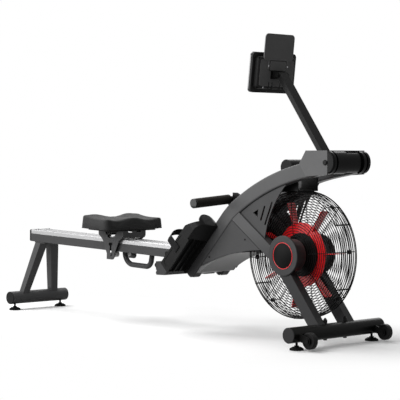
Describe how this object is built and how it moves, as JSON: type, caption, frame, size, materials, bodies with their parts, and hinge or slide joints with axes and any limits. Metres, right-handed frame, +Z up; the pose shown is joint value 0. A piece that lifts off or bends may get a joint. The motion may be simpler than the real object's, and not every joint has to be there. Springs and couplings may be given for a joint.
{
  "type": "rowing machine",
  "caption": "Air-fan rowing machine with a sliding seat on a folding rail, wire-caged fan wheel, pull handle on a strap, foot plates and a tilting monitor.",
  "frame": {"origin": "floor level, at the middle of the overall length and width", "axes": "+X forward to the fan, +Y to the rower's left when facing the fan, +Z up"},
  "size_m": [2.199, 0.559, 1.3026],
  "materials": {
    "frame_paint": "satin metallic charcoal paint",
    "black_paint": "satin black powder coat",
    "cage_black": "black coated wire",
    "shell_grey": "fine-grained grey moulding",
    "black_plastic": "fine-grained black moulding",
    "grey_plastic": "matt dark grey moulding",
    "gloss_black": "glossy black front",
    "fan_red": "glossy red paint",
    "steel": "dark zinc-plated steel",
    "rail_silver": "brushed aluminium",
    "rail_dark": "dark grey coated aluminium",
    "seat_vinyl": "matt black moulded vinyl over foam",
    "grip_foam": "matt black foam rubber",
    "handle_paint": "satin black tube with grey end caps",
    "roller_white": "milky polyurethane",
    "foot_rubber": "black rubber",
    "strap_web": "woven black webbing"
  },
  "bodies": {
    "frame": {"front_stabilizer": "black_paint", "front_end_caps": "black_plastic", "side_frame_right": "frame_paint", "side_frame_left": "frame_paint", "arm_right": "frame_paint", "arm_left": "frame_paint", "hub_covers": "shell_grey", "bearings": "steel", "cage_right": "cage_black", "cage_left": "cage_black", "cage_bracket": "black_paint", "cross_tube": "frame_paint", "head_shell": "shell_grey", "head_nose": "black_plastic", "mast": "black_paint", "vent_panels": "shell_grey", "side_panels": "shell_grey", "lower_cover": "shell_grey", "main_beam": "frame_paint", "drive_plates": "frame_paint", "handle_rest": "black_paint", "drive_belt": "foot_rubber", "recoil_case": "black_paint", "foot_plate_right": "black_plastic", "foot_plate_left": "black_plastic", "foot_straps": "strap_web", "frame_fasteners": "steel"},
    "fan": {"fan_wheel": "fan_red", "fan_axle": "steel"},
    "drum": {"strap_drum": "steel"},
    "guide": {"guide_roller": "steel"},
    "handle": {"handle_bar": "handle_paint", "handle_grips": "grip_foam", "pull_strap": "strap_web"},
    "rail": {"rail_beam": "rail_dark", "rail_track": "rail_silver", "rail_caps": "black_plastic", "rear_stand": "black_paint", "lift_loop": "black_paint"},
    "seat": {"seat_cushion": "seat_vinyl", "seat_base": "black_plastic", "seat_carriage": "black_paint"},
    "front_roller_set": {"front_rollers": "roller_white"},
    "rear_roller_set": {"rear_rollers": "roller_white"},
    "lower_roller_set": {"lower_rollers": "roller_white"},
    "console": {"console_back": "black_plastic", "console_face": "gloss_black", "console_bracket": "black_paint", "device_plate": "black_paint"},
    "right_button": {"button_right": "grey_plastic"},
    "left_button": {"button_left": "grey_plastic"},
    "right_wheel": {"wheel_right": "black_plastic"},
    "left_wheel": {"wheel_left": "black_plastic"},
    "front_right_foot": {"foot_front_right": "foot_rubber"},
    "front_left_foot": {"foot_front_left": "foot_rubber"},
    "rear_right_foot": {"foot_rear_right": "foot_rubber"},
    "rear_left_foot": {"foot_rear_left": "foot_rubber"},
    "right_heel": {"heel_cup_right": "grey_plastic"},
    "left_heel": {"heel_cup_left": "grey_plastic"},
    "lock": {"lock_knob": "black_plastic"}
  },
  "joints": [
    {"name": "fan_spin", "type": "hinge", "parent": "frame", "child": "fan", "pos_m": [0.8025, 0, 0.366], "axis": [0, 1, 0], "continuous": true},
    {"name": "handle_pull", "type": "slide", "parent": "frame", "child": "handle", "axis": [-1, 0, 0], "range_m": [0, 1.2], "deforming": ["pull_strap"]},
    {"name": "drum_turn", "type": "hinge", "parent": "frame", "child": "drum", "pos_m": [0.484, 0, 0.414], "axis": [0, 1, 0], "range_deg": [-1950, 0]},
    {"name": "guide_turn", "type": "hinge", "parent": "frame", "child": "guide", "pos_m": [0.506, 0, 0.5797], "axis": [0, 1, 0], "range_deg": [-5170, 0]},
    {"name": "rail_fold", "type": "hinge", "parent": "frame", "child": "rail", "pos_m": [0.0065, 0, 0.333], "axis": [0, 1, 0], "range_deg": [0, 85]},
    {"name": "seat_slide", "type": "slide", "parent": "rail", "child": "seat", "axis": [0.9996, 0, -0.0297], "range_m": [-0.535, 0.2]},
    {"name": "front_rollers_turn", "type": "hinge", "parent": "seat", "child": "front_roller_set", "pos_m": [-0.31854, 0, 0.40397], "axis": [0, 1, 0], "range_deg": [-1520, 570]},
    {"name": "rear_rollers_turn", "type": "hinge", "parent": "seat", "child": "rear_roller_set", "pos_m": [-0.45448, 0, 0.40801], "axis": [0, 1, 0], "range_deg": [-1520, 570]},
    {"name": "lower_rollers_turn", "type": "hinge", "parent": "seat", "child": "lower_roller_set", "pos_m": [-0.38928, 0, 0.31243], "axis": [0, 1, 0], "range_deg": [-750, 2010]},
    {"name": "console_tilt", "type": "hinge", "parent": "frame", "child": "console", "pos_m": [0.68554, 0, 1.12776], "axis": [0, 1, 0], "range_deg": [-20, 20]},
    {"name": "right_button_press", "type": "slide", "parent": "console", "child": "right_button", "axis": [0.9925, 0, -0.1219], "range_m": [0, 0.0015], "stiffness_N_per_m": 400},
    {"name": "left_button_press", "type": "slide", "parent": "console", "child": "left_button", "axis": [0.9925, 0, -0.1219], "range_m": [0, 0.0015], "stiffness_N_per_m": 400},
    {"name": "right_wheel_spin", "type": "hinge", "parent": "frame", "child": "right_wheel", "pos_m": [1.0655, -0.23, 0.043], "axis": [0, 1, 0], "continuous": true},
    {"name": "left_wheel_spin", "type": "hinge", "parent": "frame", "child": "left_wheel", "pos_m": [1.0655, 0.23, 0.043], "axis": [0, 1, 0], "continuous": true},
    {"name": "front_right_foot_turn", "type": "hinge", "parent": "frame", "child": "front_right_foot", "pos_m": [0.9915, -0.23, 0.01], "axis": [0, 0, 1], "range_deg": [-720, 720]},
    {"name": "front_left_foot_turn", "type": "hinge", "parent": "frame", "child": "front_left_foot", "pos_m": [0.9915, 0.23, 0.01], "axis": [0, 0, 1], "range_deg": [-720, 720]},
    {"name": "rear_right_foot_turn", "type": "hinge", "parent": "rail", "child": "rear_right_foot", "pos_m": [-1.0675, -0.144, 0.01], "axis": [0, 0, 1], "range_deg": [-720, 720]},
    {"name": "rear_left_foot_turn", "type": "hinge", "parent": "rail", "child": "rear_left_foot", "pos_m": [-1.0675, 0.144, 0.01], "axis": [0, 0, 1], "range_deg": [-720, 720]},
    {"name": "right_heel_slide", "type": "slide", "parent": "frame", "child": "right_heel", "axis": [-0.6884, 0, -0.7254], "range_m": [0, 0.03]},
    {"name": "left_heel_slide", "type": "slide", "parent": "frame", "child": "left_heel", "axis": [-0.6884, 0, -0.7254], "range_m": [0, 0.03]},
    {"name": "lock_pull", "type": "slide", "parent": "frame", "child": "lock", "axis": [-1, 0, 0], "range_m": [0, 0.01], "stiffness_N_per_m": 800}
  ],
  "couplings": [
    {"joint": "drum_turn", "follows": "handle_pull", "rad_per_m": -28.329},
    {"joint": "guide_turn", "follows": "handle_pull", "rad_per_m": -75.188},
    {"joint": "front_rollers_turn", "follows": "seat_slide", "rad_per_m": 49.261},
    {"joint": "rear_rollers_turn", "follows": "seat_slide", "rad_per_m": 49.261},
    {"joint": "lower_rollers_turn", "follows": "seat_slide", "rad_per_m": -65.359}
  ]
}
